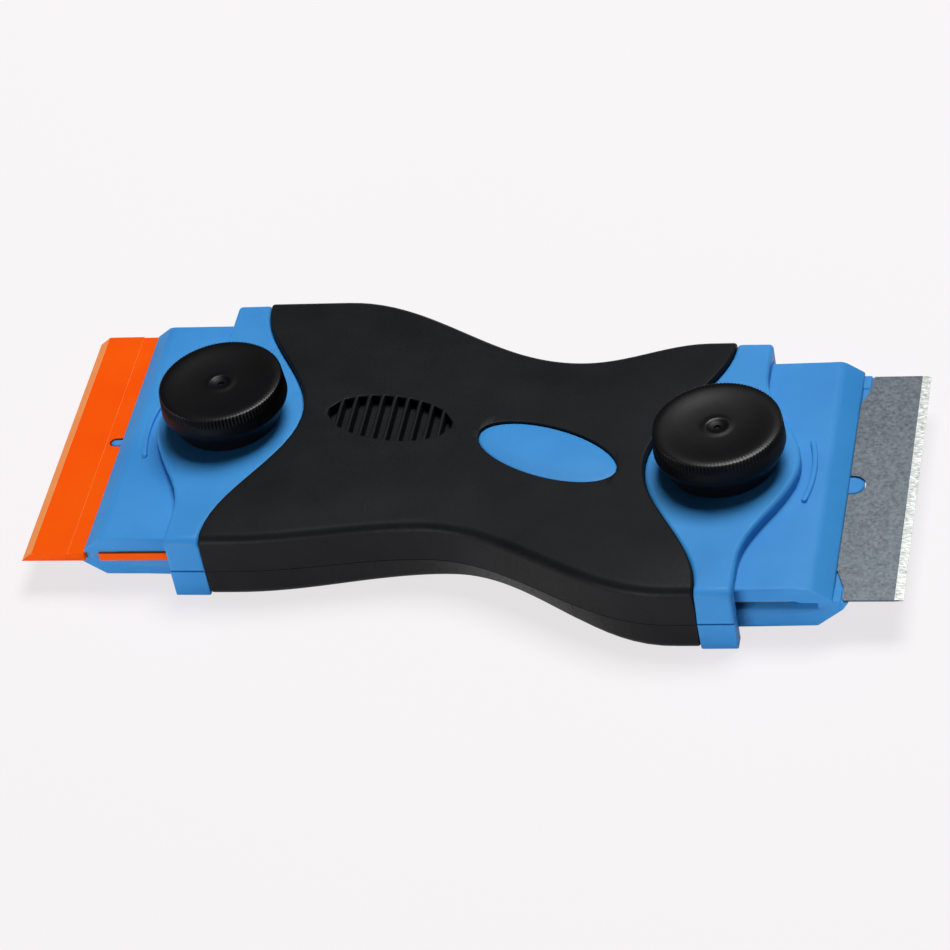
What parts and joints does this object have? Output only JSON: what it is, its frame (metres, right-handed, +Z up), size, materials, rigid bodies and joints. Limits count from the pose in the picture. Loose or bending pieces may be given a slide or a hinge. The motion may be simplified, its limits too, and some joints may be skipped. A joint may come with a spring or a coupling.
{
  "type": "double-ended razor blade scraper",
  "caption": "Hand scraper with an S-shaped rubber-covered handle and a knob-tightened clamp at each end, one holding a steel blade and one a plastic blade.",
  "frame": {"origin": "middle of the flat underside of the lower grip, which the tool rests on, midway between the two sharp edges", "axes": "+X along the tool from the plastic blade's edge to the steel blade's edge, +Y across it towards the side with the rear waist, +Z up towards the knobs"},
  "size_m": [0.1036, 0.0524, 0.0143],
  "materials": {
    "blue_plastic": "semi-gloss moulded blue plastic",
    "black_rubber": "matt black soft-touch moulding with a fine grain",
    "black_plastic": "glossy black moulded plastic, knurled rim",
    "orange_plastic": "satin orange moulded plastic",
    "blade_steel": "oiled satin carbon steel with a bright ground edge",
    "plated_steel": "zinc-plated steel"
  },
  "bodies": {
    "handle": {"upper_core": "blue_plastic", "lower_core": "blue_plastic", "upper_grip": "black_rubber", "lower_grip": "black_rubber", "handle_screws": "plated_steel", "left_upper_jaw": "blue_plastic", "right_upper_jaw": "blue_plastic", "left_washer": "plated_steel", "right_washer": "plated_steel"},
    "left_knob_set": {"left_knob": "black_plastic", "left_stud": "plated_steel"},
    "right_knob_set": {"right_knob": "black_plastic", "right_stud": "plated_steel"},
    "left_clamp": {"left_lower_jaw": "blue_plastic", "left_nut": "plated_steel", "plastic_blade": "orange_plastic"},
    "right_clamp": {"right_lower_jaw": "blue_plastic", "right_nut": "plated_steel", "steel_blade": "blade_steel"}
  },
  "joints": [
    {"name": "left_knob_turn", "type": "hinge", "parent": "handle", "child": "left_knob_set", "pos_m": [-0.03, 0.00455, 0], "axis": [0, 0, 1], "range_deg": [0, 565]},
    {"name": "right_knob_turn", "type": "hinge", "parent": "handle", "child": "right_knob_set", "pos_m": [0.03, -0.00455, 0], "axis": [0, 0, 1], "range_deg": [0, 565]},
    {"name": "left_jaw_drop", "type": "slide", "parent": "handle", "child": "left_clamp", "axis": [0, 0, -1], "range_m": [0, 0.0011]},
    {"name": "right_jaw_drop", "type": "slide", "parent": "handle", "child": "right_clamp", "axis": [0, 0, -1], "range_m": [0, 0.0011]}
  ],
  "couplings": [
    {"joint": "left_jaw_drop", "follows": "left_knob_turn", "m_per_rad": 0.00011141},
    {"joint": "right_jaw_drop", "follows": "right_knob_turn", "m_per_rad": 0.00011141}
  ]
}
